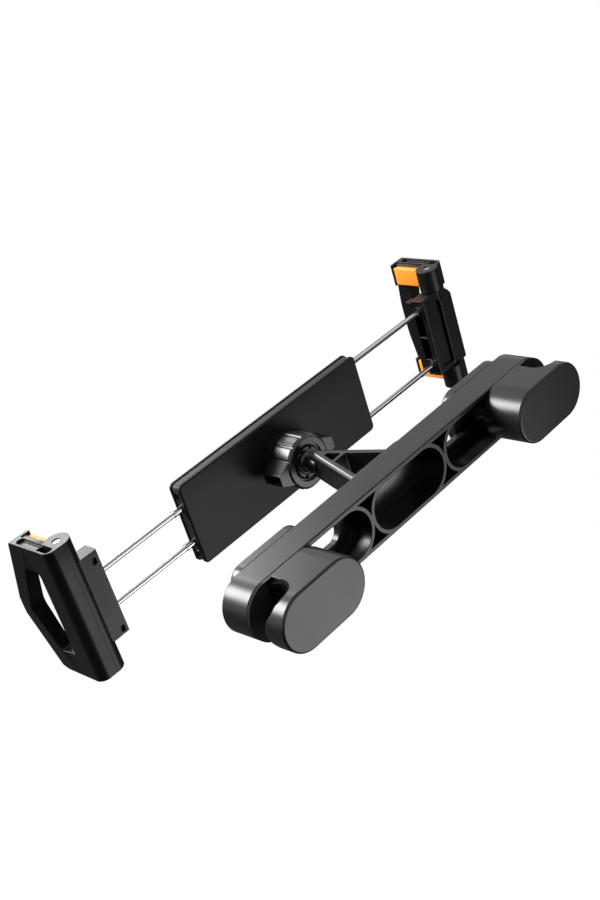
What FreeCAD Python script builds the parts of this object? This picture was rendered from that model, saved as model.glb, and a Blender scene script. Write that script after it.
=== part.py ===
import FreeCAD, Part
import Sketcher
import math
import os

# Headrest tablet mount. A crossbar clamps between two headrest posts with a pair of
# sliding jaws, a bracket behind it carries a ball joint, and the ball joint carries a
# tablet holder whose two ends slide out on rods and whose hooked brackets fold in.
#
# X runs along the crossbar, Y from the posts towards the tablet, Z up. The origin is
# the middle of the crossbar's front rim. All sizes are in millimetres and degrees.

V = FreeCAD.Vector
doc = FreeCAD.newDocument("HeadrestTabletMount")

# Driving dimensions

DIMENSIONS = [
    ("bar_length", 200, "crossbar over its rounded ends"),
    ("bar_height", 25.8, "crossbar height"),
    ("bar_depth", 14, "crossbar from front rim to back face"),
    ("bar_wall", 2.1, "crossbar outer wall"),
    ("bar_floor", 3, "thickness of the crossbar's back"),
    ("ring_length", 46, "opening of the middle ring"),
    ("ring_wall", 1.8, "wall of the middle ring and of the channel ends"),
    ("ring_web", 3.2, "wall left between ring and channel on the centre line"),
    ("track_rest", 2.5, "track slot left beyond the tongue when the jaw is out"),
    ("track_spare", 7.5, "track slot left beyond the tongue when the jaw is in"),
    ("track_height", 10, "height of the track slot"),
    ("slide_gap", 0.2, "running gap of the jaws in the crossbar"),
    ("jaw_length", 46.5, "front block of a jaw"),
    ("jaw_depth", 19.7, "front block of a jaw, out from the crossbar"),
    ("guide_length", 40.3, "part of a jaw inside the channel"),
    ("guide_depth", 10.5, "part of a jaw inside the channel"),
    ("tongue_length", 28.5, "part of a jaw inside the track slot"),
    ("jaw_travel", 20, "how far a jaw slides in"),
    ("post_radius", 6.3, "headrest post"),
    ("liner_wall", 0.7, "rubber liner of the post seat"),
    ("seat_back", 1.2, "jaw behind the post"),
    ("post_inset", 10.1, "post axis from the crossbar's end"),
    ("lip_curl", 5.2, "how far the jaw's lip closes round the post"),
    ("cap_length", 40, "rear cap of a jaw"),
    ("cap_depth", 4.9, "rear cap of a jaw"),
    ("cap_corner", 7.3, "corner radius of a rear cap"),
    ("cap_inset", 8, "rear cap's middle inboard of the jaw's middle"),
    ("screw_radius", 1.5, "shank of the jaw screws"),
    ("screw_head", 2.8, "head radius of the jaw screws"),
    ("screw_spacing", 16, "between the two screws of a jaw"),
    ("arm_offset", 2.5, "arm and holder to the right of the middle ring"),
    ("arm_foot", 2, "flange of the arm's foot"),
    ("arm_rim", 1.1, "flange of the arm's foot round the ring opening"),
    ("arm_plug", 1.6, "arm's plug in the ring opening"),
    ("arm_half_width", 15.5, "arm at its foot"),
    ("arm_reach", 57, "arm's tip from the front rim"),
    ("arm_tip", 2.5, "half width of the arm's tip"),
    ("arm_height", 13.6, "arm height"),
    ("arm_drop", 0.3, "arm's middle below the crossbar's"),
    ("leg_thickness", 4, "arm legs"),
    ("leg_round", 2.2, "rounding of the arm's outer edges"),
    ("rib_place", 40.4, "cross rib from the front rim"),
    ("rib_thickness", 1.8, "cross rib"),
    ("boss_radius", 4.6, "boss at the arm's tip"),
    ("boss_length", 4.5, "boss at the arm's tip"),
    ("neck_length", 9.5, "ball centre beyond the arm's boss"),
    ("ball_radius", 7, "ball"),
    ("neck_radius", 2.2, "neck of the ball"),
    ("ball_gap", 0.08, "running gap between ball, liner and socket"),
    ("cup_wall", 0.9, "liner of the ball"),
    ("socket_radius", 9.6, "outside of the ball socket"),
    ("socket_slot", 1.6, "slots between the socket fingers"),
    ("collar_wall", 1.2, "threaded collar of the holder"),
    ("nut_radius", 12.8, "clamp nut"),
    ("nut_length", 11.8, "clamp nut"),
    ("nut_front", 6.2, "nut's front rim ahead of the ball centre"),
    ("nut_recess", 8.8, "recess in the nut's front"),
    ("nut_gap", 0.1, "running gap of the nut on the collar"),
    ("wing_span", 36, "clamp nut over its two wings"),
    ("wing_tip", 5.4, "height of a wing at its tip"),
    ("plate_length", 118.7, "tablet holder plate"),
    ("plate_height", 40.8, "tablet holder plate"),
    ("plate_thickness", 7.6, "tablet holder plate"),
    ("cover_thickness", 1.8, "front and rear covers of the plate"),
    ("plate_gap", 10.7, "plate behind the ball centre"),
    ("plate_corner", 2.5, "corner radius of the plate"),
    ("rod_radius", 1.3, "sliding rods"),
    ("rod_length", 101, "sliding rods"),
    ("rod_gap", 0.05, "running gap of the rods"),
    ("tube_wall", 0.25, "guide tubes of the rods"),
    ("tube_stand", 5, "left guide tubes standing out of the plate"),
    ("left_rod_spacing", 17.6, "between the two left rods"),
    ("right_rod_spacing", 30.6, "between the two right rods"),
    ("cover_screw_inset", 9.35, "cover screws from the plate's ends"),
    ("left_reach", 120, "left hinge pin from the holder's middle"),
    ("right_reach", 125.9, "right hinge pin from the holder's middle"),
    ("block_face", 13, "end block's inner face inboard of the pin"),
    ("block_height", 42, "end block"),
    ("block_front", 3.8, "end block ahead of the pin's axis"),
    ("right_block_back", 7.5, "right end block behind the pin's axis"),
    ("block_tail_inset", 1.2, "end block's tail below its top and above its bottom"),
    ("ring_rise", 0.5, "raised rings of the end block round the rods"),
    ("cover_round", 9, "right end block's upper outboard corner"),
    ("arch_depth", 1.5, "recess in the right end block's front"),
    ("barrel_radius", 3.9, "barrel of the end block round the pin"),
    ("knuckle_radius", 5.6, "knuckles of the bracket round the pin"),
    ("hinge_gap", 0.3, "gap between bracket and end block"),
    ("pin_radius", 1.65, "hinge pin"),
    ("pin_gap", 0.05, "running gap of the hinge pin"),
    ("bracket_height", 66, "bracket over its two hooks"),
    ("bracket_outer", 9.2, "bracket's outer face outboard of the pin"),
    ("bracket_wall", 5.1, "bracket's web; folded in it lies over the plate"),
    ("left_web_front", 5.5, "left bracket's web ahead of the pin's axis"),
    ("left_web_corner", 4.3, "left bracket's outer front corner"),
    ("right_web_front", 3, "right bracket's web ahead of the pin's axis"),
    ("right_web_corner", 2.9, "right bracket's outer front corner"),
    ("left_hook_reach", 22.1, "left hooks' tips behind the pin"),
    ("right_hook_reach", 24.6, "right hooks' tips behind the pin"),
    ("hook_height", 11.2, "each hook"),
    ("hook_grip", 0.6, "pad's face inboard of the pin's axis"),
    ("pad_start", 6.1, "rubber pad behind the pin's axis"),
    ("pad_inset", 2.4, "end of the rubber pad short of the hook's tip"),
    ("left_loop_reach", 30.3, "far side of the left loop behind the pin"),
    ("right_loop_reach", 28.6, "far side of the right loop behind the pin"),
    ("loop_bulge", 2.2, "loop's far side further outboard"),
    ("loop_bar", 7.3, "width of the loop's far side"),
    ("window_start", 7.4, "loop's window behind the pin"),
    ("window_bend", 16.3, "where the loop's window starts to narrow"),
    ("window_height", 43, "loop's window"),
]

sheet = doc.addObject("Spreadsheet::Sheet", "Sizes")
for row, (alias, number, note) in enumerate(DIMENSIONS, start=1):
    sheet.set("A%d" % row, note)
    sheet.set("B%d" % row, str(number))
    sheet.setAlias("B%d" % row, alias)
doc.recompute()


class Size:
    """A length as a formula of the sheet's cells, with the number it gives now."""

    def __init__(self, text, number):
        self.text = text
        self.number = number

    def join(self, sign, other, number):
        return Size("(%s %s %s)" % (self.text, sign, size(other).text), number)

    def __add__(self, other):
        return self.join("+", other, self.number + size(other).number)

    def __sub__(self, other):
        return self.join("-", other, self.number - size(other).number)

    def __mul__(self, other):
        return self.join("*", other, self.number * size(other).number)

    def __truediv__(self, other):
        return self.join("/", other, self.number / size(other).number)

    def __radd__(self, other):
        return size(other) + self

    def __rsub__(self, other):
        return size(other) - self

    def __rmul__(self, other):
        return size(other) * self

    def __neg__(self):
        return Size("(0 - %s)" % self.text, -self.number)

    def root(self):
        return Size("sqrt(%s)" % self.text, math.sqrt(self.number))


def size(value):
    if isinstance(value, Size):
        return value
    return Size("(%r)" % float(value), float(value))


class Cells:
    """Gives each cell of the sheet as a Size by its alias."""

    def __getattr__(self, alias):
        return Size("Sizes." + alias, float(getattr(sheet, alias)))


S = Cells()


def bind(thing, prop, value):
    thing.setExpression(prop, size(value).text)


def leg(hypotenuse, other):
    return (hypotenuse * hypotenuse - other * other).root()


# Bodies, sketches and features

NODES = []


def body(label, x=0, y=0, z=0):
    new = doc.addObject("PartDesign::Body", label)
    new.Label = label
    for axis, value in zip("xyz", (x, y, z)):
        bind(new, "Placement.Base." + axis, value)
    NODES.append(new)
    return new


def sketch(owner, name, plane, level=0):
    """An empty sketch on one of the body's planes, level millimetres along its axis."""
    new = owner.newObject("Sketcher::SketchObject", name)
    support = [p for p in owner.Origin.OriginFeatures if p.Role == plane + "_Plane"][0]
    new.AttachmentSupport = [(support, "")]
    new.MapMode = "FlatFace"
    bind(new, "AttachmentOffset.Base.z", -size(level) if plane == "XZ" else level)
    return new


def fix(drawing, geo, point, x=None, y=None):
    """Ties a point of the drawing to formulas measured from the sketch's origin."""
    for kind, value in (("DistanceX", x), ("DistanceY", y)):
        if value is not None:
            value = size(value)
            index = drawing.addConstraint(
                Sketcher.Constraint(kind, -1, 1, geo, point, value.number))
            drawing.setExpression("Constraints[%d]" % index, value.text)


def circle(drawing, x, y, radius):
    x, y, radius = size(x), size(y), size(radius)
    geo = drawing.addGeometry(
        Part.Circle(V(x.number, y.number, 0), V(0, 0, 1), radius.number), False)
    index = drawing.addConstraint(Sketcher.Constraint("Radius", geo, radius.number))
    drawing.setExpression("Constraints[%d]" % index, radius.text)
    fix(drawing, geo, 3, x, y)
    return drawing


def corner_cut(before, here, after, radius):
    """Where a rounding of the corner here meets the two straight sides."""
    a = (before - here).normalize()
    b = (after - here).normalize()
    half = math.acos(max(-1, min(1, a * b))) / 2
    run = radius / math.tan(half)
    middle = here + (a + b).normalize() * (radius / math.sin(half))
    return here + a * run, here + b * run, middle


def outline(drawing, corners):
    """A closed outline through its corners.

    A corner is (x, y), (x, y, radius) for a rounded one, or (x, y, centre, turn) where
    the side that ends there is an arc about centre, turning +1 left or -1 right.
    """
    count = len(corners)
    spots = [V(size(c[0]).number, size(c[1]).number, 0) for c in corners]
    starts, ends, rounds = list(spots), list(spots), {}
    for i, corner in enumerate(corners):
        if len(corner) == 3:
            cuts = corner_cut(spots[i - 1], spots[i], spots[(i + 1) % count],
                              size(corner[2]).number)
            ends[i], starts[i], rounds[i] = cuts
    sides = []
    for i in range(count):
        j = (i + 1) % count
        if len(corners[j]) == 4:
            middle = V(size(corners[j][2][0]).number, size(corners[j][2][1]).number, 0)
            sides.append(add_arc(drawing, middle, starts[i], ends[j], corners[j][3]))
            direction = spots[j] - spots[i]
            if abs(direction.y) > abs(direction.x):
                fix(drawing, sides[i][0], 3, x=corners[j][2][0])
            else:
                fix(drawing, sides[i][0], 3, y=corners[j][2][1])
        else:
            geo = drawing.addGeometry(Part.LineSegment(starts[i], ends[j]), False)
            sides.append((geo, 1, 2))
    for i, corner in enumerate(corners):
        before, after = sides[i - 1], sides[i]
        if i in rounds:
            turn = 1 if (ends[i] - spots[i - 1]).cross(starts[i] - ends[i]).z > 0 else -1
            arc = add_arc(drawing, rounds[i], ends[i], starts[i], turn)
            drawing.addConstraint([
                Sketcher.Constraint("Tangent", before[0], before[2], arc[0], arc[1]),
                Sketcher.Constraint("Tangent", arc[0], arc[2], after[0], after[1])])
            radius = size(corner[2])
            index = drawing.addConstraint(
                Sketcher.Constraint("Radius", arc[0], radius.number))
            drawing.setExpression("Constraints[%d]" % index, radius.text)
            mark = drawing.addGeometry(Part.Point(spots[i]), True)
            fix(drawing, mark, 1, corner[0], corner[1])
            drawing.addConstraint([
                Sketcher.Constraint("PointOnObject", mark, 1, before[0]),
                Sketcher.Constraint("PointOnObject", mark, 1, after[0])])
        else:
            drawing.addConstraint(Sketcher.Constraint(
                "Coincident", before[0], before[2], after[0], after[1]))
            fix(drawing, after[0], after[1], corner[0], corner[1])
    return drawing


def add_arc(drawing, middle, start, end, turn):
    """An arc with the numbers of its start and end points."""
    first, last = (start, end) if turn > 0 else (end, start)
    a = math.atan2(first.y - middle.y, first.x - middle.x)
    b = math.atan2(last.y - middle.y, last.x - middle.x)
    if b <= a:
        b += 2 * math.pi
    ring = Part.Circle(middle, V(0, 0, 1), (start - middle).Length)
    geo = drawing.addGeometry(Part.ArcOfCircle(ring, a, b), False)
    return (geo, 1, 2) if turn > 0 else (geo, 2, 1)


def rectangle(drawing, x1, x2, y1, y2, radius=None):
    corners = [(x1, y1), (x2, y1), (x2, y2), (x1, y2)]
    if radius is not None:
        corners = [(x, y, radius) for x, y in corners]
    return outline(drawing, corners)


def stadium(drawing, x1, x2, radius):
    """A slot shape along the sketch's first axis from x1 to x2."""
    a, b = size(x1) + radius, size(x2) - radius
    return outline(drawing, [
        (a, -size(radius), (a, 0), 1), (b, -size(radius)),
        (b, radius, (b, 0), 1), (a, radius)])


def extrude(kind, drawing, length, toward):
    """A pad or pocket of the drawing; toward is +1 or -1 along the axis, 0 for both."""
    owner = drawing.getParentGeoFeatureGroup()
    doc.recompute()
    before = owner.Shape.Volume if kind == "Pocket" else 0
    new = owner.newObject("PartDesign::" + kind, drawing.Name + kind)
    new.Profile = drawing
    if toward == 0:
        new.SideType = "Symmetric"
    outward = -1 if drawing.AttachmentSupport[0][0].Role == "XZ_Plane" else 1
    forward = outward if kind == "Pad" else -outward
    new.Reversed = toward != 0 and toward != forward
    bind(new, "Length", length)
    drawing.Visibility = False
    owner.Tip = new
    doc.recompute()
    if kind == "Pocket" and not new.Shape.Volume < before - 1e-6:
        raise RuntimeError(new.Label + " cuts nothing")
    return new


def pad(drawing, length, toward=1):
    return extrude("Pad", drawing, length, toward)


def pocket(drawing, length, toward=1):
    return extrude("Pocket", drawing, length, toward)


def turn_about(drawing, kind="Revolution", axis="V_Axis"):
    """A full turn of the drawing about one of its axes."""
    owner = drawing.getParentGeoFeatureGroup()
    new = owner.newObject("PartDesign::" + kind, drawing.Name + kind)
    new.Profile = drawing
    new.ReferenceAxis = (drawing, [axis])
    new.Angle = 360
    drawing.Visibility = False
    owner.Tip = new
    doc.recompute()
    return new


def dress(owner, kind, amount, chosen):
    """Rounds or bevels the edges of the body for which chosen(edge) is true."""
    base = owner.Tip
    names = ["Edge%d" % (i + 1) for i, edge in enumerate(base.Shape.Edges) if chosen(edge)]
    new = owner.newObject("PartDesign::" + kind, base.Name + kind)
    new.Base = (base, names)
    bind(new, "Radius" if kind == "Fillet" else "Size", amount)
    owner.Tip = new
    doc.recompute()
    return new


def near(a, b):
    return abs(a - size(b).number) < 1e-4


def in_plane(axis, level):
    """A test for edges that lie wholly at one level of an axis."""
    def test(edge):
        box = edge.BoundBox
        low, high = getattr(box, axis + "Min"), getattr(box, axis + "Max")
        return near(low, level) and near(high, level)
    return test


def copies(owner, feature, axis, angle, count):
    new = owner.newObject("PartDesign::PolarPattern", feature.Name + "Pattern")
    new.Originals = [feature]
    new.Axis = (feature.Profile[0], [axis])
    new.Angle = angle
    new.Occurrences = count
    owner.Tip = new
    doc.recompute()
    return new


def solids(label, pieces, x=0, y=0, z=0):
    """Several equal small pieces that share one node."""
    group = doc.addObject("Part::Compound", label)
    group.Label = label
    group.Links = pieces
    for axis, value in zip("xyz", (x, y, z)):
        bind(group, "Placement.Base." + axis, value)
    doc.recompute()
    NODES.append(group)
    return group


TILTS = {"X": FreeCAD.Rotation(V(0, 1, 0), 90), "Y": FreeCAD.Rotation(V(1, 0, 0), -90),
         "Z": FreeCAD.Rotation()}


def rod(name, axis, radius, length, x=0, y=0, z=0):
    """A plain cylinder that starts at a point and runs along an axis."""
    new = doc.addObject("Part::Cylinder", name)
    bind(new, "Radius", radius)
    bind(new, "Height", length)
    new.Placement = FreeCAD.Placement(V(), TILTS[axis])
    for letter, value in zip("xyz", (x, y, z)):
        bind(new, "Placement.Base." + letter, value)
    return new


def headed_screw(name, axis, shank, head, length, head_length, x, y, z, facing=1):
    """A screw whose head's seat lies at a point, with the shank behind it."""
    spots = dict(x=size(x), y=size(y), z=size(z))
    low = axis.lower()
    shaft_at, head_at = dict(spots), dict(spots)
    if facing > 0:
        shaft_at[low] = spots[low] - length
    else:
        head_at[low] = spots[low] - head_length
    shaft = rod(name + "Shank", axis, shank, length, **shaft_at)
    top = rod(name + "Head", axis, head, head_length, **head_at)
    screw = doc.addObject("Part::Fuse", name)
    screw.Base = shaft
    screw.Tool = top
    return screw


# Crossbar: a stadium tray with a middle ring and two channels for the jaws

bar_end = S.bar_length / 2
bar_half = S.bar_height / 2
inner_half = bar_half - S.bar_wall
ring_end = S.ring_length / 2
channel_start = ring_end + S.ring_web
channel_end = bar_end - S.bar_wall
wall_half = inner_half + S.ring_wall
ring_middle = ring_end - inner_half
channel_middle = channel_start + inner_half
guide_outer = channel_end - 0.6
guide_inner = guide_outer - S.guide_length
tongue_outer = guide_outer - 6.8
tongue_inner = tongue_outer - S.tongue_length
track_start = tongue_inner - S.jaw_travel - S.track_spare
track_end = tongue_outer + S.track_rest


def make_crossbar():
    bar = body("crossbar")
    pad(stadium(sketch(bar, "BarOutline", "XZ"), -bar_end, bar_end, bar_half), S.bar_depth)
    pocket(stadium(sketch(bar, "RingOpening", "XZ"), -ring_end, ring_end, inner_half),
           S.bar_depth)
    tray = S.bar_depth - S.bar_floor
    for side, tag in ((-1, "Left"), (1, "Right")):
        first, last = sorted([side * channel_start, side * channel_end],
                             key=lambda s: s.number)
        pocket(stadium(sketch(bar, tag + "Channel", "XZ"), first, last, inner_half), tray)
        first, last = sorted([side * track_start, side * track_end],
                             key=lambda s: s.number)
        track = sketch(bar, tag + "Track", "XZ", tray)
        pocket(stadium(track, first, last, S.track_height / 2), S.bar_floor)
        # the pockets between the ring and the channel's round end
        apart = channel_middle - ring_middle
        apex_x = ring_middle + apart / 2
        apex_z = leg(wall_half, apart / 2)
        top = leg(wall_half, inner_half)
        for up, name in ((1, "Upper"), (-1, "Lower")):
            drawing = sketch(bar, tag + name + "Recess", "XZ")
            outline(drawing, [
                (side * (ring_middle + top), up * inner_half,
                 (side * ring_middle, 0), side * up),
                (side * (channel_middle - top), up * inner_half),
                (side * apex_x, up * apex_z,
                 (side * channel_middle, 0), side * up)])
            pocket(drawing, tray)
    dress(bar, "Fillet", 0.6, lambda e: in_plane("Y", 0)(e) and e.BoundBox.ZLength > 1
          and e.BoundBox.XMax > bar_end.number - 1)
    return bar


# Jaws: a front block with the post seat, a guide in the channel, a tongue in the track

jaw_inner = bar_end - S.jaw_length
jaw_middle = bar_end - S.jaw_length / 2
seat_radius = S.post_radius + S.liner_wall
post_x = bar_end - S.post_inset
seat_back = -(S.slide_gap + S.seat_back)
post_y = -(S.slide_gap + S.seat_back + S.post_radius)
cap_front = S.bar_depth + S.slide_gap
cap_back = cap_front + S.cap_depth
cap_middle = jaw_middle - S.cap_inset
screw_places = (tongue_inner + 5, tongue_inner + 5 + S.screw_spacing)


def span(side, a, b):
    """Two places on one side of the middle, the smaller first."""
    return sorted([side * size(a), side * size(b)], key=lambda s: s.number)


def make_jaw(side, tag):
    jaw = body(tag + "_jaw")
    name = tag.capitalize() + "Jaw"
    pad(stadium(sketch(jaw, name + "Front", "XZ", -S.jaw_depth),
                *span(side, jaw_inner, bar_end), bar_half), S.jaw_depth - S.slide_gap)
    pad(stadium(sketch(jaw, name + "Guide", "XZ", -S.slide_gap),
                *span(side, guide_inner, guide_outer), inner_half - 0.3),
        S.guide_depth + S.slide_gap)
    pad(stadium(sketch(jaw, name + "Tongue", "XZ", S.guide_depth),
                *span(side, tongue_inner, tongue_outer), S.track_height / 2 - S.slide_gap),
        cap_front - S.guide_depth)
    mouth = post_y - seat_radius
    slot = sketch(jaw, name + "Slot", "XY")
    outline(slot, [
        (side * (post_x - seat_radius), seat_back), (side * (bar_end + 2), seat_back),
        (side * (bar_end + 2), mouth + 1.4 * S.lip_curl),
        (side * (post_x + 7.2), mouth + 0.42 * S.lip_curl, 4),
        (side * post_x, mouth),
        (side * (post_x - seat_radius), post_y, (side * post_x, post_y), -side)])
    pocket(slot, S.bar_height + 2, 0)
    dress(jaw, "Fillet", 1, in_plane("Y", -S.jaw_depth))
    holes = sketch(jaw, name + "ScrewHoles", "XZ", cap_front)
    for place in screw_places:
        circle(holes, side * place, 0, S.screw_radius)
    pocket(holes, S.guide_depth, -1)


def make_post_liner(side, tag):
    """A rubber strip that lines the inner end of the seat, from its rounded heel on the
    back wall to the front of the post."""
    liner = body(tag + "_post_liner")
    centre = (side * post_x, post_y)
    outer_x, heel_x = side * (post_x - seat_radius), side * (post_x - 0.7071 * S.post_radius)
    drawing = sketch(liner, tag.capitalize() + "LinerOutline", "XY")
    outline(drawing, [
        (outer_x, seat_back), (heel_x, seat_back), (heel_x, post_y + 0.7071 * S.post_radius),
        (side * post_x, post_y - S.post_radius, centre, side),
        (side * post_x, post_y - seat_radius), (outer_x, post_y, centre, -side)])
    pad(drawing, S.bar_height - 3, 0)


def make_rear_cap(side, tag):
    cap = body(tag + "_rear_cap")
    name = tag.capitalize() + "Cap"
    pad(rectangle(sketch(cap, name + "Outline", "XZ", cap_front),
                  *span(side, cap_middle - S.cap_length / 2, cap_middle + S.cap_length / 2),
                  -bar_half, bar_half, S.cap_corner), S.cap_depth)
    dress(cap, "Fillet", 1, in_plane("Y", cap_back))
    holes = sketch(cap, name + "ScrewHoles", "XZ", cap_front)
    seats = sketch(cap, name + "ScrewSeats", "XZ", cap_back)
    for place in screw_places:
        circle(holes, side * place, 0, S.screw_radius)
        circle(seats, side * place, 0, S.screw_head + 0.1)
    pocket(holes, S.cap_depth)
    pocket(seats, S.cap_depth / 2, -1)
    screws = [headed_screw(name + "Screw%d" % number, "Y", S.screw_radius, S.screw_head,
                           S.cap_depth / 2 + S.guide_depth - 1, S.cap_depth / 2 - 0.3,
                           side * place, cap_back - S.cap_depth / 2, 0)
              for number, place in enumerate(screw_places)]
    solids(tag + "_jaw_screws", screws)


# Arm: a foot in the middle ring and two legs that run together at a boss

foot_back = S.bar_depth + S.arm_foot
boss_face = S.arm_reach + 1.5
ball_centre = boss_face + S.neck_length
plate_front = ball_centre + S.plate_gap


def arm_half_at(y):
    run = (S.arm_half_width - S.arm_tip) * (y - foot_back) / (S.arm_reach - foot_back)
    return S.arm_half_width - run


def make_arm():
    arm = body("arm")
    off = S.arm_offset
    pad(stadium(sketch(arm, "ArmFoot", "XZ", S.bar_depth), -(ring_end + S.arm_rim),
                ring_end + S.arm_rim, inner_half + S.arm_rim), S.arm_foot)
    pad(stadium(sketch(arm, "ArmPlug", "XZ", S.bar_depth), 0.05 - ring_end,
                ring_end - 0.05, inner_half - 0.05), S.arm_plug, -1)
    legs = sketch(arm, "ArmLegs", "XY", -S.arm_drop)
    start = foot_back - 1
    outline(legs, [(off - arm_half_at(start), start), (off + arm_half_at(start), start),
                   (off + S.arm_tip, S.arm_reach), (off - S.arm_tip, S.arm_reach)])
    pad(legs, S.arm_height, 0)

    def outer_side(edge):
        middle = edge.CenterOfMass
        half = arm_half_at(size(middle.y)).number
        return (near(abs(middle.z + S.arm_drop.number), S.arm_height / 2)
                and middle.y > foot_back.number + 1
                and abs(abs(middle.x - off.number) - half) < 0.05)
    dress(arm, "Fillet", S.leg_round, outer_side)
    rib_end = S.rib_place + S.rib_thickness
    top = foot_back + (S.arm_half_width - S.leg_thickness - 1) * (
        S.arm_reach - foot_back) / (S.arm_half_width - S.arm_tip)
    for name, low, high in (("ArmWindow", foot_back, S.rib_place),
                            ("ArmUpperWindow", rib_end, top)):
        window = sketch(arm, name, "XY")
        wide = arm_half_at(low) - S.leg_thickness
        narrow = arm_half_at(high) - S.leg_thickness
        outline(window, [(off - wide, low, 0.6), (off + wide, low, 0.6),
                         (off + narrow, high, 0.6), (off - narrow, high, 0.6)])
        pocket(window, S.arm_height + 2 * S.arm_drop + 2, 0)
    pad(circle(sketch(arm, "ArmBoss", "XZ", boss_face), off, 0, S.boss_radius),
        S.boss_length, -1)
    pocket(circle(sketch(arm, "ArmStudHole", "XZ", boss_face), off, 0, S.neck_radius),
           S.boss_length + 2, -1)
    dress(arm, "Fillet", 0.5, in_plane("Y", boss_face))


# Ball joint: stud, liner, slotted socket and the nut that squeezes it

liner_inner = S.ball_radius + S.ball_gap
liner_outer = liner_inner + S.cup_wall
socket_inner = liner_outer + S.ball_gap
liner_half = liner_inner * 0.75
socket_front = socket_inner * 0.71
cone_length = 4.5
cone_start = cone_length - socket_front


def make_ball_stud():
    stud = body("ball_stud", S.arm_offset, ball_centre)
    profile = sketch(stud, "StudProfile", "XY")
    face = boss_face - ball_centre
    outline(profile, [
        (0, face - S.boss_length - 1.5), (S.neck_radius, face - S.boss_length - 1.5),
        (S.neck_radius, face), (S.neck_radius + 1.4, face),
        (S.neck_radius + 1.4, face + 1), (S.neck_radius, face + 1.6),
        (S.neck_radius, -leg(S.ball_radius, S.neck_radius)),
        (0, S.ball_radius, (0, 0), 1)])
    turn_about(profile)


def make_ball_liner():
    liner = body("ball_liner", S.arm_offset, ball_centre)
    inner, outer = leg(liner_inner, liner_half), leg(liner_outer, liner_half)
    profile = sketch(liner, "LinerProfile", "XY")
    outline(profile, [(inner, -liner_half, (0, 0), -1), (outer, -liner_half),
                      (outer, liner_half, (0, 0), 1), (inner, liner_half)])
    turn_about(profile)


def make_ball_socket():
    socket = body("ball_socket", S.arm_offset, ball_centre)
    profile = sketch(socket, "SocketProfile", "XY")
    back = plate_front - ball_centre - 0.1
    outline(profile, [
        (0, back), (0, S.ball_radius + 0.4), (socket_inner, S.ball_radius + 0.4),
        (socket_inner, 0),
        (leg(socket_inner, socket_front), -socket_front, (0, 0), -1),
        (S.socket_radius - 2.4, -socket_front), (S.socket_radius, cone_start),
        (S.socket_radius, back)])
    turn_about(profile)
    slot = sketch(socket, "SocketSlot", "XZ", -socket_front - 1)
    rectangle(slot, 1, S.socket_radius + 2, -S.socket_slot / 2, S.socket_slot / 2)
    copies(socket, pocket(slot, socket_front + 1), "N_Axis", 360, 6)


def make_clamp_nut():
    nut = body("clamp_nut", S.arm_offset, ball_centre)
    bore = S.socket_radius + 0.1 + S.collar_wall + S.nut_gap
    front = -S.nut_front
    back = front + S.nut_length
    lip = S.socket_radius - 1.75
    profile = sketch(nut, "NutProfile", "XY")
    outline(profile, [
        (S.nut_recess, front), (S.nut_radius - 1.2, front), (S.nut_radius, front + 1.2),
        (S.nut_radius, back - 0.8), (S.nut_radius - 0.8, back), (bore, back),
        (bore, cone_start + 2.2), (S.socket_radius + 0.3, cone_start + 0.1),
        (lip, front + 1.2), (S.nut_recess, front + 1.2)])
    turn_about(profile)
    groove = sketch(nut, "NutGroove", "XZ", front - 1)
    circle(groove, 0, S.nut_radius + 0.4, 0.9)
    copies(nut, pocket(groove, S.nut_length + 2), "N_Axis", 360, 12)
    root_half = 6.5
    base = leg(S.nut_radius - 0.9, root_half)
    for side, tag in ((-1, "Left"), (1, "Right")):
        wing = sketch(nut, tag + "Wing", "XZ", front + 0.9)
        outline(wing, [
            (side * base, -root_half, (0, 0), -side),
            (side * S.wing_span / 2, -S.wing_tip / 2, 0.8),
            (side * S.wing_span / 2, S.wing_tip / 2, 0.8),
            (side * base, root_half)])
        pad(wing, S.nut_length - 0.9)
        hollow = sketch(nut, tag + "WingHollow", "YZ", side * S.wing_span / 2)
        rectangle(hollow, front + 2.4, back - 1.6, -S.wing_tip / 2 + 1.2,
                  S.wing_tip / 2 - 1.2)
        pocket(hollow, 3.4, -side)


# Tablet holder: two covers on a core with the guide tubes of the rods

holder_y = plate_front + S.plate_thickness / 2
core_front = plate_front + S.cover_thickness
core_back = plate_front + S.plate_thickness - S.cover_thickness
plate_back = plate_front + S.plate_thickness
tube_inner = S.rod_radius + S.rod_gap
tube_outer = tube_inner + S.tube_wall
half_plate = S.plate_length / 2
cover_screws = [(a * (half_plate - S.cover_screw_inset),
                 b * (S.left_rod_spacing + S.right_rod_spacing) / 4)
                for a in (-1, 1) for b in (-1, 1)]


def plate_layer(label, start, thickness, inset=0):
    layer = body(label, S.arm_offset)
    half = S.plate_height / 2
    pad(rectangle(sketch(layer, label.title().replace("_", "") + "Outline", "XZ", start),
                  -(half_plate - inset), half_plate - inset, -(half - inset), half - inset,
                  S.plate_corner), thickness)
    return layer


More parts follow.
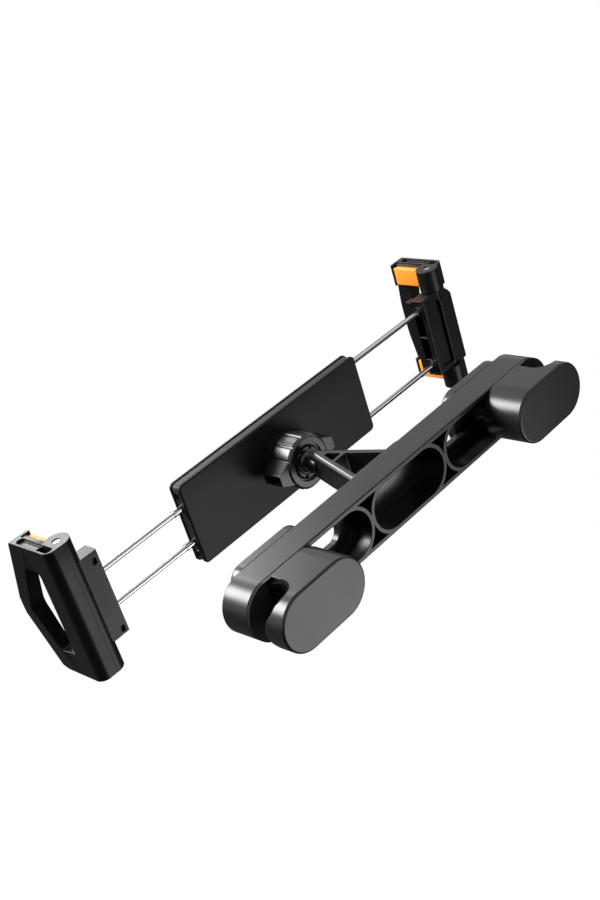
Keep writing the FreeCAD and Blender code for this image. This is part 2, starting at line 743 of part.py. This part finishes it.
def make_holder():
    rear = plate_layer("holder_rear_cover", plate_front, S.cover_thickness)
    dress(rear, "Chamfer", 0.7, in_plane("Y", plate_front))
    collar_length = plate_front - ball_centre + S.nut_front - S.nut_length + 4.4
    collar = sketch(rear, "CollarOutline", "XZ", plate_front)
    circle(collar, 0, 0, S.socket_radius + 0.1 + S.collar_wall)
    circle(collar, 0, 0, S.socket_radius + 0.1)
    pad(collar, collar_length, -1)

    core = plate_layer("holder_core", core_front, core_back - core_front, 0.35)
    bores = sketch(core, "RodBores", "YZ", -half_plate)
    for spacing in (S.left_rod_spacing, S.right_rod_spacing):
        for up in (-1, 1):
            circle(bores, holder_y, up * spacing / 2, tube_outer)
    pocket(bores, S.plate_length)

    front = plate_layer("holder_front_cover", core_back, S.cover_thickness)
    dress(front, "Chamfer", 0.7, in_plane("Y", plate_back))
    for layer, depth in ((core, S.plate_thickness), (front, S.plate_thickness)):
        holes = sketch(layer, layer.Name.title().replace("_", "") + "Holes", "XZ", plate_back)
        for x, z in cover_screws:
            circle(holes, x, z, 1)
        pocket(holes, depth, -1)
    seats = sketch(front, "CoverScrewSeats", "XZ", plate_back)
    for x, z in cover_screws:
        circle(seats, x, z, 2)
    pocket(seats, 1.2, -1)
    screws = [headed_screw("CoverScrew%d" % number, "Y", 1, 1.9,
                           plate_back - 1.2 - core_front, 1, S.arm_offset + x,
                           plate_back - 1.2, z)
              for number, (x, z) in enumerate(cover_screws)]
    solids("cover_screws", screws)


def make_guide_tubes(tag, spacing, start, end):
    tubes = []
    for up, name in ((-1, "Lower"), (1, "Upper")):
        place = dict(x=start, y=holder_y, z=up * spacing / 2)
        wall = rod(tag + name + "TubeWall", "X", tube_outer, end - start, **place)
        way = rod(tag + name + "TubeBore", "X", tube_inner, end - start, **place)
        tube = doc.addObject("Part::Cut", tag + name + "Tube")
        tube.Base = wall
        tube.Tool = way
        tubes.append(tube)
    solids(tag + "_guide_tubes", tubes, S.arm_offset)


# Ends: rods, end block, hinge pin, and the hooked bracket with its rubber pads

block_half = S.block_height / 2
middle_half = block_half + 0.4
hook_start = S.bracket_height / 2 - S.hook_height
web_inner = S.bracket_outer - S.bracket_wall
block_neck = web_inner - S.hinge_gap
rod_depth = S.block_face - S.barrel_radius - 0.1
outermost = S.bracket_outer + S.loop_bulge


def across(side, points):
    """Mirrors outline corners for the left end."""
    result = []
    for point in points:
        if len(point) == 4:
            middle = (side * size(point[2][0]), point[2][1])
            result.append((side * size(point[0]), point[1], middle, side * point[3]))
        else:
            result.append((side * size(point[0]),) + tuple(point[1:]))
    return result


def make_end(side, tag, reach, spacing):
    place = (S.arm_offset + side * reach, holder_y)
    name = tag.capitalize()
    rods = [rod(name + up + "Rod", "X", S.rod_radius, S.rod_length,
                side * -(S.barrel_radius + 0.1) - (S.rod_length if side > 0 else 0), 0,
                sign * spacing / 2)
            for sign, up in ((-1, "Lower"), (1, "Upper"))]
    solids(tag + "_rods", rods, *place)

    block = body(tag + "_end_block", *place)
    plan = sketch(block, name + "BlockPlan", "XY")
    if side < 0:
        outline(plan, across(side, [
            (-S.block_face, -S.block_front, 0.5), (-3.4, -S.block_front), (-3.4, -1.5),
            (0, -1.5), (0, block_neck), (-S.block_face, block_neck, 0.5)]))
    else:
        outline(plan, [
            (-S.block_face, -S.block_front, 0.8), (S.bracket_outer, -S.block_front, 1),
            (S.bracket_outer, -0.5), (0, -0.5), (0, block_neck),
            (-S.block_face, block_neck)])
    pad(plan, S.block_height, 0)
    pad(circle(sketch(block, name + "Barrel", "XY"), 0, 0, S.barrel_radius),
        S.block_height, 0)
    if side < 0:
        notches = sketch(block, name + "Notches", "XZ", -S.block_front)
        for low in (1.1 - block_half, block_half - 6):
            rectangle(notches, S.block_face - 3.8, S.block_face - 1.7, low, low + 3, 0.5)
        pocket(notches, S.arch_depth)
    else:
        make_cover_details(block)
    pocket(circle(sketch(block, name + "BarrelBore", "XY"), 0, 0,
                  S.pin_radius + S.pin_gap), S.block_height, 0)
    rings = sketch(block, name + "RodRings", "YZ", side * -S.block_face)
    holes = sketch(block, name + "RodHoles", "YZ", side * -(S.block_face + S.ring_rise))
    for sign in (-1, 1):
        circle(rings, 0, sign * spacing / 2, S.rod_radius + 1.1)
        circle(holes, 0, sign * spacing / 2, S.rod_radius)
    pad(rings, S.ring_rise, -side)
    pocket(holes, rod_depth + S.ring_rise, side)

    make_bracket(side, tag, place)
    pin = rod(tag + "_hinge_pin", "Z", S.pin_radius, S.bracket_height - 0.8,
              place[0], place[1], 0.4 - S.bracket_height / 2)
    pin.Label = tag + "_hinge_pin"
    NODES.append(pin)


def make_cover_details(block):
    """The right block's rounded corner, arched recess, tail, slots and screw holes."""
    bend_x, bend_z = S.bracket_outer - S.cover_round, block_half - S.cover_round
    corner = sketch(block, "CoverCorner", "XZ", -S.block_front - 1)
    outline(corner, [
        (bend_x, block_half), (S.bracket_outer, bend_z, (bend_x, bend_z), -1),
        (S.bracket_outer + 1, bend_z), (S.bracket_outer + 1, block_half + 1),
        (bend_x, block_half + 1)])
    pocket(corner, S.block_front + 1)
    arch = sketch(block, "CoverArch", "XZ", -S.block_front)
    outline(arch, [
        (3.5 - S.block_face, 2.5 - block_half, 0.8), (0.5, 2.5 - block_half, 2.5),
        (0.5, block_half - 3, 6), (3.5 - S.block_face, block_half - 3, 1.2)])
    pocket(arch, S.arch_depth)
    tail = sketch(block, "BlockTail", "XY")
    rectangle(tail, -S.block_face, -(S.window_start + 0.7), 0, S.right_block_back)
    pad(tail, S.block_height - 2 * S.block_tail_inset, 0)
    slots = sketch(block, "BlockSlots", "YZ", -S.block_face)
    reach = S.right_rod_spacing / 2 - 3
    rectangle(slots, -1.3, 3.7, 0.5, reach, 0.5)
    rectangle(slots, -1.3, 3.7, -reach, -0.5, 0.5)
    pocket(slots, S.block_face - S.barrel_radius - 4)
    marks = sketch(block, "BlockScrewHoles", "YZ", -S.block_face)
    circle(marks, 3.4, block_half - 3.6, 0.8)
    circle(marks, 0.2, 1.8 - block_half, 0.8)
    pocket(marks, 4)


def make_bracket(side, tag, place):
    bracket = body(tag + "_bracket", *place)
    name = tag.capitalize() + "Bracket"
    half = S.bracket_height / 2
    outer = S.bracket_outer
    reach = S.left_loop_reach if side < 0 else S.right_loop_reach
    tip = S.left_hook_reach if side < 0 else S.right_hook_reach
    pad_end = tip - S.pad_inset
    front = S.knuckle_radius
    through = outermost + 8
    web_front = S.left_web_front if side < 0 else S.right_web_front
    web_corner = S.left_web_corner if side < 0 else S.right_web_corner
    plan = sketch(bracket, name + "Plan", "XY")
    outline(plan, across(side, [
        (0, -web_front), (outer, -web_front, web_corner),
        (outer, tip * 0.55, 6), (outermost, tip + 2, 6),
        (outermost, reach, 1.5), (web_inner, reach, 1.5), (web_inner, front - 0.4),
        (0, front - 0.4)]))
    pad(plan, S.bracket_height, 0)
    pad(circle(sketch(bracket, name + "Knuckle", "XY"), 0, 0, front), S.bracket_height, 0)
    for sign, level in ((1, "Upper"), (-1, "Lower")):
        hook = sketch(bracket, name + level + "Hook", "XY",
                      hook_start if sign > 0 else -hook_start)
        outline(hook, across(side, [
            (web_inner, 0), (outer, 0), (outer, tip, 1.5),
            (1.2 - S.hook_grip, tip, 0.8), (-S.hook_grip, pad_end + 1.3, 0.6),
            (-S.hook_grip, pad_end + 0.1), (web_inner, pad_end + 0.1)]))
        pad(hook, S.hook_height, sign)
        # the outer face leans in from the loop's middle towards the hook
        lean = sketch(bracket, name + level + "Lean", "XZ")
        outline(lean, across(side, [
            (outer, sign * half), (outermost, 0), (outermost + 1, 0),
            (outermost + 1, sign * (half + 1)), (outer, sign * (half + 1))]))
        pocket(lean, reach + 2)
    # room for the end block between the two knuckles
    clearing = sketch(bracket, name + "Clearing", "XY")
    if side < 0:
        outline(clearing, across(side, [
            (0, 0), (-4, -6.93), (-9, -6.93), (-9, 9), (web_inner, 9), (web_inner, 0)]))
    else:
        outline(clearing, [
            (-9, -9), (outer + 1, -9), (outer + 1, 0.2), (web_inner, 0.2),
            (web_inner, 9), (-9, 9)])
    pocket(clearing, 2 * middle_half, 0)
    pocket(circle(sketch(bracket, name + "BarrelClearing", "XY"), 0, 0,
                  S.barrel_radius + S.hinge_gap), 2 * middle_half, 0)
    for sign, level, bevel in ((1, "Upper", 1), (-1, "Lower", 3.2)):
        corner = sketch(bracket, name + level + "Corner", "YZ", side * -6)
        outline(corner, [
            (tip - bevel, sign * (half + 1)), (tip - bevel, sign * half),
            (tip + 0.2, sign * (half - bevel / 2)), (reach, sign * 1.5),
            (reach + 2, sign * 1.5), (reach + 2, sign * (half + 1))])
        pocket(corner, through, side)
    window = sketch(bracket, name + "Window", "YZ", side * -6)
    far = reach - S.loop_bar
    wide = S.window_height / 2
    outline(window, [
        (S.window_start, -wide, 1), (S.window_bend, -wide, 2), (far, -1.5, 1.5),
        (far, 1.5, 1.5), (S.window_bend, wide, 2), (S.window_start, wide, 3)])
    pocket(window, through, side)
    for sign, level in ((1, "Upper"), (-1, "Lower")):
        for kind, end, depth in (("Tray", tip - 3.6, 1.2),
                                 ("Well", S.window_start - 2, S.hook_height / 2)):
            hollow = sketch(bracket, name + level + kind, "XY", sign * half)
            rectangle(hollow, *span(side, web_inner + 0.3, outer - 1), 1.7 - web_front,
                      end, 1.6)
            pocket(hollow, depth, -sign)
    pocket(circle(sketch(bracket, name + "PinHole", "XY"), 0, 0,
                  S.pin_radius + S.pin_gap), S.bracket_height, 0)
    for sign, level in ((1, "upper"), (-1, "lower")):
        rubber = body("%s_%s_pad" % (tag, level), *place)
        ends = sorted([sign * (hook_start + 0.4), sign * (half - 0.4)],
                      key=lambda s: s.number)
        drawing = sketch(rubber, tag.capitalize() + level.capitalize() + "Pad", "YZ",
                         side * -S.hook_grip)
        rectangle(drawing, S.pad_start, pad_end, ends[0], ends[1], 1)
        pad(drawing, web_inner + S.hook_grip, side)


make_crossbar()
make_arm()
make_ball_stud()
for side, tag in ((-1, "left"), (1, "right")):
    make_jaw(side, tag)
    make_post_liner(side, tag)
    make_rear_cap(side, tag)
make_ball_liner()
make_ball_socket()
make_clamp_nut()
make_holder()
make_guide_tubes("left", S.left_rod_spacing, -half_plate - S.tube_stand, size(45))
make_guide_tubes("right", S.right_rod_spacing, -half_plate, half_plate + 1)
make_end(-1, "left", S.left_reach, S.left_rod_spacing)
make_end(1, "right", S.right_reach, S.right_rod_spacing)

# Checks and files

doc.recompute()
for thing in doc.Objects:
    if "Invalid" in thing.State or "Error" in thing.State:
        raise RuntimeError("%s failed: %s" % (thing.Name, thing.State))
for node in NODES:
    if node.Shape.isNull() or not node.Shape.isValid():
        raise RuntimeError(node.Label + " has no valid shape")

os.makedirs("parts", exist_ok=True)
for node in NODES:
    node.Shape.exportStep("parts/%s.step" % node.Label)
    print("%-20s %d solid(s) %9.1f mm3" % (node.Label, len(node.Shape.Solids),
                                           node.Shape.Volume))
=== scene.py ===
import bmesh
import bpy
from mathutils import Matrix, Vector


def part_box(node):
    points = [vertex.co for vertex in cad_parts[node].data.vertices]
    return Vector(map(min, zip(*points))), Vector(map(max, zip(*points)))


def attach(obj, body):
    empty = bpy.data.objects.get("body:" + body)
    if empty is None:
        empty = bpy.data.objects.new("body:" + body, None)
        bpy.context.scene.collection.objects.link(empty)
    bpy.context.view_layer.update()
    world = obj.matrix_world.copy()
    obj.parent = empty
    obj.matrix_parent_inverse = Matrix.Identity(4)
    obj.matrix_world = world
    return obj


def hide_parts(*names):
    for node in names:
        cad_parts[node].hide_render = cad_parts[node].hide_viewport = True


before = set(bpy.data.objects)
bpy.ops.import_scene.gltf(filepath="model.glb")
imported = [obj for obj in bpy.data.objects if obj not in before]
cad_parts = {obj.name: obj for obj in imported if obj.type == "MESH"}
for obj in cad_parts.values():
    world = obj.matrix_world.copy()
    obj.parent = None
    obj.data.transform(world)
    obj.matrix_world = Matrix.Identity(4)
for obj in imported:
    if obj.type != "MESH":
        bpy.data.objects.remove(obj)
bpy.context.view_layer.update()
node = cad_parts

# Crossbar: one moulding in dark grey filled nylon with a satin, faintly grained skin.
# A middle ring and two channels are open to the front; its edges are softened by the mould.


class Wire:
    """A shader socket that can be used in sums and products."""

    def __init__(self, tree, socket):
        self.tree = tree
        self.socket = socket

    def math(self, operation, other, swap=False):
        made = self.tree.nodes.new("ShaderNodeMath")
        made.operation = operation
        pair = (other, self) if swap else (self, other)
        for entry, value in zip(made.inputs, pair):
            if isinstance(value, Wire):
                self.tree.links.new(value.socket, entry)
            else:
                entry.default_value = value
        return Wire(self.tree, made.outputs[0])

    def between(self, low, high):
        """1 where the value lies between the two, 0 elsewhere."""
        return self.math("GREATER_THAN", low) * self.math("LESS_THAN", high)

    def __add__(self, other):
        return self.math("ADD", other)

    def __sub__(self, other):
        return self.math("SUBTRACT", other)

    def __rsub__(self, other):
        return self.math("SUBTRACT", other, swap=True)

    def __mul__(self, other):
        return self.math("MULTIPLY", other)

    __radd__ = __add__
    __rmul__ = __mul__


class Nodes:
    """A node tree under construction, with one method for any node."""

    def __init__(self, tree):
        self.tree = tree

    def put(self, kind, values, settings=None, output=0):
        made = self.tree.nodes.new("ShaderNode" + kind)
        for key, value in (settings or {}).items():
            setattr(made, key, value)
        for entry, value in values.items():
            if isinstance(value, Wire):
                self.tree.links.new(value.socket, made.inputs[entry])
            else:
                made.inputs[entry].default_value = value
        return Wire(self.tree, made.outputs[output])

    def own(self, name):
        """The first output of a node that the tree came with."""
        return Wire(self.tree, self.tree.nodes[name].outputs[0])

    def end(self, name, wire):
        """Joins a shader to the tree's output node."""
        self.tree.links.new(wire.socket, self.tree.nodes[name].inputs["Surface"])


class Finish(Nodes):
    """A material: a plain skin first, then what varies over it."""

    def __init__(self, name, color, roughness, **constants):
        self.material = bpy.data.materials.new(name)
        self.material.use_nodes = True
        super().__init__(self.material.node_tree)
        self.skin = self.tree.nodes["Principled BSDF"].inputs
        self.skin["Base Color"].default_value = (*color, 1)
        self.skin["Roughness"].default_value = roughness
        for entry, value in constants.items():
            self.skin[entry.replace("_", " ")].default_value = value

    def feed(self, entry, wire):
        self.tree.links.new(wire.socket, self.skin[entry])

    def place(self):
        """Place on the piece, in metres of the shared frame."""
        return self.put("TexCoord", {}, output=3)

    def axis(self, number):
        return self.put("SeparateXYZ", {0: self.place()}, output=number)

    def grain(self, scale, detail=4.0):
        return self.put("TexNoise", {"Vector": self.place(), "Scale": scale,
                                     "Detail": detail, "Roughness": 0.6})

    def spread(self, grain, low, high):
        """The middle of a grain's range stretched between two values."""
        return self.put("MapRange", {"Value": grain, "From Min": 0.3, "From Max": 0.7,
                                     "To Min": low, "To Max": high})

    def tint(self, mask, first, second):
        """Colour of the skin: the first where the mask is 0, the second where it is 1."""
        self.feed("Base Color", self.put("Mix", {0: mask, 6: (*first, 1), 7: (*second, 1)},
                                         {"data_type": "RGBA"}, output=2))

    def rounded(self, radius):
        """The look of hard edges with a small radius on them."""
        return self.put("Bevel", {"Radius": radius}, {"samples": 8})

    def emboss(self, height, strength, depth, edge):
        """Rounds the look of hard edges and adds a fine relief to the skin."""
        self.feed("Normal", self.put("Bump", {"Height": height, "Strength": strength,
                                              "Distance": depth,
                                              "Normal": self.rounded(edge)}))


slow_grain = 38
spark_depth = 0.00006


def moulded(name, color, roughness, grain_scale=2600, relief=0.12, edge=0.0004, **more):
    """Moulded plastic: fine spark texture, slow variation of gloss, softened edges."""
    finish = Finish(name, color, roughness, **more)
    fine = finish.grain(grain_scale, 3.0)
    slow = finish.spread(finish.grain(slow_grain, 2.0), roughness - 0.03, roughness + 0.04)
    finish.feed("Roughness", slow + (fine - 0.5) * 0.02)
    finish.emboss(fine, relief, spark_depth, edge)
    return finish.material


def dress(name, material):
    """Gives a CAD node its finish; its shape is kept."""
    for slot in node[name].material_slots:
        slot.material = material


bar_plastic = moulded("bar_plastic", (0.011, 0.011, 0.011), 0.3, Specular_IOR_Level=0.3)
dress("crossbar", bar_plastic)

# Arm: a Λ-shaped bracket moulded in glossy black, its foot set in the middle ring.
# The legs are polished by the mould, so they show one hard highlight along each edge.

arm_black = moulded("arm_black", (0.006, 0.006, 0.006), 0.24, relief=0.03, edge=0.0006,
                    Specular_IOR_Level=0.5)
dress("arm", arm_black)

# Ball stud, liner and slotted socket: a grey ball on a short neck, held in a ring of
# fingers; the ball is coloured near black as painted shade, for the shadow of the socket
# and nut round it. The liner is a thin natural plastic cup between them.

# Near black: painted shade for the socket's and nut's shadow on the ball.
ball_painted_shade = Finish("ball_painted_shade", (0.02, 0.02, 0.02), 0.32)
ball_painted_shade.feed("Roughness", ball_painted_shade.spread(ball_painted_shade.grain(300), 0.26, 0.38))
dress("ball_stud", ball_painted_shade.material)
liner_plastic = moulded("liner_plastic", (0.01, 0.01, 0.01), 0.45)
dress("ball_liner", liner_plastic)
socket_black = moulded("socket_black", (0.006, 0.006, 0.006), 0.28, relief=0.04,
                       Specular_IOR_Level=0.3)
dress("ball_socket", socket_black)

# Clamp nut: a glossy black wing nut with shallow flutes, moulded in one piece and screwed
# onto the holder's collar, where it closes the socket's fingers on the ball.

nut_black = moulded("nut_black", (0.004, 0.004, 0.004), 0.34, relief=0.02, edge=0.0005,
                    Specular_IOR_Level=0.55)
dress("clamp_nut", nut_black)

# Jaws: a stadium-faced block that slides in the channel, with a half-round post seat.
# The rubber liner of the seat is glued in; a rear cap is screwed on from behind.

jaw_shade = (0.014, 0.013, 0.0125)
# The near-black colour of the painted shade inside the post seat.
seat_shade = (0.002, 0.002, 0.002)
seat_middle = {"left": -0.0899, "right": 0.0899}
seat_open = {"left": -1, "right": 1}
seat_depth = -0.0077
seat_radius = 0.0073
seat_wall = (-0.0019, 0.0006)
seat_mouth = (-0.002, 0.02)


def jaw_finish(side):
    """The moulding's satin skin, with painted shade: the seat's bore and a thin band at its
    mouth are coloured near black.
    """
    finish = Finish(side + "_jaw_plastic", jaw_shade, 0.3, Specular_IOR_Level=0.3)
    fine = finish.grain(2200, 3.0)
    depth = finish.axis(1)
    off = finish.axis(0) - seat_middle[side]
    across = depth - seat_depth
    bore = (off * off + across * across).math("SQRT", 0.0).math("LESS_THAN", seat_radius)
    mouth = (off * seat_open[side]).between(*seat_mouth)
    # Painted shade: the seat's bore, and a thin band beside its mouth where the jaw meets
    # the bar, are coloured near black and made rougher; they stand for shadow, not for a
    # material.
    painted_seat_shade_mask = bore.math("MAXIMUM", depth.between(*seat_wall) * mouth)
    finish.tint(painted_seat_shade_mask, jaw_shade, seat_shade)
    slow = finish.spread(finish.grain(slow_grain, 2.0), 0.27, 0.32)
    finish.feed("Roughness", slow + (fine - 0.5) * 0.06 + painted_seat_shade_mask * 0.6)
    finish.emboss(fine, 0.12, spark_depth, 0.0004)
    return finish.material


liner_rubber = moulded("liner_rubber", (0.003, 0.003, 0.003), 0.7, grain_scale=1500,
                       Specular_IOR_Level=0.05)
zinc = Finish("zinc", (0.60, 0.61, 0.62), 0.3, Metallic=1.0)
zinc.feed("Roughness", zinc.spread(zinc.grain(700), 0.22, 0.4))
zinc.feed("Normal", zinc.rounded(0.0002))
for side in ("left", "right"):
    jaw_plastic = jaw_finish(side)
    dress(side + "_jaw", jaw_plastic)
    dress(side + "_rear_cap", jaw_plastic)
    dress(side + "_post_liner", liner_rubber)
    dress(side + "_jaw_screws", zinc.material)

# Tablet holder: rear cover, core and front cover, screwed together round the tubes.
# Dark, fine-textured plastic; a thin shadow line runs along each seam of the covers.

plate_shade = (0.016, 0.016, 0.016)
seam_shade = (0.001, 0.001, 0.001)
seam_rear = 0.0805
seam_front = 0.0845
seam_half = 0.0003
plate = Finish("plate_plastic", plate_shade, 0.46, Specular_IOR_Level=0.15)
fine = plate.grain(3000, 3.0)
depth = plate.axis(1)
seams = (depth.between(seam_rear - seam_half, seam_rear + seam_half)
         + depth.between(seam_front - seam_half, seam_front + seam_half))
plate.tint(seams, plate_shade, seam_shade)
plate.feed("Roughness", (fine - 0.5) * 0.02 + 0.46 + seams * 0.4)
plate.emboss(fine * 0.003 - seams, 0.5, 0.0003, 0.0005)
for name in ("holder_rear_cover", "holder_core", "holder_front_cover"):
    dress(name, plate.material)
dress("cover_screws", zinc.material)

# Rods and guide tubes: bright plated steel, drawn. Fine dark and bright stripes run along
# them in the base colour, partly drawn lines and partly painted reflection of a dark and
# light studio. The rods are pressed into the end blocks and slide in the tubes.

dark_drawn_line_and_painted_reflection = (0.16, 0.16, 0.165)
bright_drawn_line_and_painted_reflection = (0.66, 0.66, 0.67)
bright_steel = Finish("bright_steel", (0.6, 0.6, 0.61), 0.14, Metallic=1.0,
                      Specular_Tint=(0.1, 0.1, 0.1, 1))
# Stripes across each rod: partly drawn lines, partly painted reflection.
turns = bright_steel.axis(2) * 4200 + bright_steel.axis(1) * 2100
drawn_lines_and_painted_reflection = turns.math("SINE", 0.0) * 0.5 + 0.5
bright_steel.tint(drawn_lines_and_painted_reflection, dark_drawn_line_and_painted_reflection, bright_drawn_line_and_painted_reflection)
bright_steel.feed("Roughness", drawn_lines_and_painted_reflection * 0.06 + 0.1)
for side in ("left", "right"):
    dress(side + "_rods", bright_steel.material)
    dress(side + "_guide_tubes", bright_steel.material)

# End blocks, brackets and hinge pins: the block carries the rods and the hinge barrel,
# the bracket is a loop with two hooks. Orange soft rubber pads grip the tablet.

# One plastic for both end blocks, in two copies: the left one lighter as painted light, the
# right one near black and less glossy as painted shade.
block_plastic_lit_and_shaded = {
    "left": moulded("left_block_painted_light_plastic", (0.018, 0.017, 0.017), 0.42,
                    Specular_IOR_Level=0.25),
    "right": moulded("right_block_painted_shade_plastic", (0.005, 0.005, 0.005), 0.34, relief=0.06,
                     Specular_IOR_Level=0.2)}
bracket_plastic = moulded("bracket_plastic", (0.006, 0.006, 0.006), 0.36, relief=0.02,
                          edge=0.0005, Specular_IOR_Level=0.2)
pad_rubber = Finish("pad_rubber", (0.90, 0.30, 0.03), 0.5, Specular_IOR_Level=0.3)
soft = pad_rubber.grain(900)
pad_rubber.feed("Roughness", pad_rubber.spread(soft, 0.46, 0.56))
pad_rubber.feed("Normal", pad_rubber.put("Bump", {"Height": soft, "Strength": 0.03,
                                                  "Distance": 0.00008}))
pad_rounding = 0.0007
lip_rounding = 0.0002
lip_thickness = 0.0009
lip_setback = 0.0024
lip_gap = 0.00002


def block_piece(name, low, high, rounding, material, body):
    """A small moulded block between two corners, its edges rounded by the mould."""
    shape = bmesh.new()
    bmesh.ops.create_cube(shape, size=1)
    bmesh.ops.scale(shape, verts=shape.verts, vec=high - low)
    bmesh.ops.translate(shape, verts=shape.verts, vec=(low + high) / 2)
    bmesh.ops.bevel(shape, geom=shape.edges[:], offset=rounding, segments=3, profile=0.5,
                    affect="EDGES", material=-1)
    mesh = bpy.data.meshes.new(name)
    shape.to_mesh(mesh)
    shape.free()
    mesh.shade_smooth()
    mesh.materials.append(material)
    piece = bpy.data.objects.new(name, mesh)
    bpy.context.scene.collection.objects.link(piece)
    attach(piece, body)
    return piece


def grip_pad(side, level):
    """The rubber block and the thin lip of the hook that covers its end."""
    name = side + "_" + level + "_pad"
    body = side + "_bracket_swing"
    low, high = (Vector(corner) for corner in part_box(name))
    lip_low, lip_high = low.copy(), high.copy()
    if side == "left":
        lip_high.x -= lip_setback
    else:
        lip_low.x += lip_setback
    if level == "upper":
        high.z -= lip_thickness
        lip_low.z = high.z + lip_gap
    else:
        low.z += lip_thickness
        lip_high.z = low.z - lip_gap
    pad = block_piece(name + "_rubber", low, high, pad_rounding, pad_rubber.material, body)
    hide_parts(name)
    lip = block_piece(name + "_lip", lip_low, lip_high, lip_rounding, bracket_plastic, body)


for side in ("left", "right"):
    dress(side + "_end_block", block_plastic_lit_and_shaded[side])
    dress(side + "_bracket", bracket_plastic)
    dress(side + "_hinge_pin", zinc.material)
    for level in ("upper", "lower"):
        grip_pad(side, level)

# Studio: a plain floor well below the mount and a white surround, which the camera, metal
# and glass see. Three soft lamps: two behind and a low one in front.

bpy.context.scene.view_settings.view_transform = "Standard"
world = bpy.data.worlds.new("surround")
bpy.context.scene.world = world
world.use_nodes = True
air = Nodes(world.node_tree)
world.node_tree.nodes["Background"].inputs["Color"].default_value = (1, 1, 1, 1)
world.node_tree.nodes["Background"].inputs["Strength"].default_value = 0.16
white = air.put("Background", {"Color": (1, 1, 1, 1), "Strength": 1})
seen = (air.put("LightPath", {}, output="Is Camera Ray")
        + air.put("LightPath", {}, output="Is Glossy Ray")
        + air.put("LightPath", {}, output="Is Transmission Ray"))
air.end("World Output", air.put("MixShader", {0: seen, 1: air.own("Background"), 2: white}))

floor_height = -0.6
floor_reach = 14
floor_shape = bmesh.new()
bmesh.ops.create_grid(floor_shape, x_segments=1, y_segments=1, size=floor_reach)
bmesh.ops.translate(floor_shape, verts=floor_shape.verts, vec=(0, 0, floor_height))
floor_mesh = bpy.data.meshes.new("floor")
floor_shape.to_mesh(floor_mesh)
floor_shape.free()
floor = bpy.data.objects.new("floor", floor_mesh)
bpy.context.scene.collection.objects.link(floor)
pale = Finish("pale_floor", (0.08, 0.08, 0.08), 0.9, Specular_IOR_Level=0.1)
glow = pale.put("Emission", {"Color": (1, 1, 1, 1), "Strength": 1.245})
rays = pale.put("LightPath", {}, output="Is Camera Ray")
pale.end("Material Output", pale.put("MixShader", {0: rays * 0.8, 2: glow,
                                                   1: pale.own("Principled BSDF")}))
floor_mesh.materials.append(pale.material)


def lamp(name, place, target, side, watts):
    """A square soft box that faces a point of the mount."""
    light = bpy.data.lights.new(name, "AREA")
    light.size = side
    light.energy = watts
    stand = bpy.data.objects.new(name, light)
    bpy.context.scene.collection.objects.link(stand)
    stand.location = place
    stand.visible_camera = False
    facing = (Vector(target) - Vector(place)).to_track_quat("-Z", "Y")
    stand.rotation_euler = facing.to_euler()


lamp("back_right", (0.30, 0.97, 0.54), (0, 0.03, 0), 0.4, 7)
lamp("back_left", (-0.45, 0.72, 0.66), (-0.05, 0.03, 0), 0.46, 26)
lamp("low_front", (0.25, -0.58, -0.45), (-0.05, 0, 0), 0.5, 3.8)

# Camera: the photograph's own viewpoint, fitted to the straight edges of the mount.
# Its three directions and its place are in the shared frame.

look = bpy.data.cameras.new("camera")
look.lens = 56.07
look.sensor_width = 36
camera = bpy.data.objects.new("camera", look)
bpy.context.scene.collection.objects.link(camera)
right = Vector((0.6544, -0.7041, -0.2757)).normalized()
ahead = Vector((0.5518, 0.6939, -0.4625)).normalized()
turn = Matrix((right, right.cross(ahead), -ahead)).transposed()
camera.matrix_world = Matrix.Translation((-0.34534, -0.37188, 0.29723)) @ turn.to_4x4()
bpy.context.scene.camera = camera
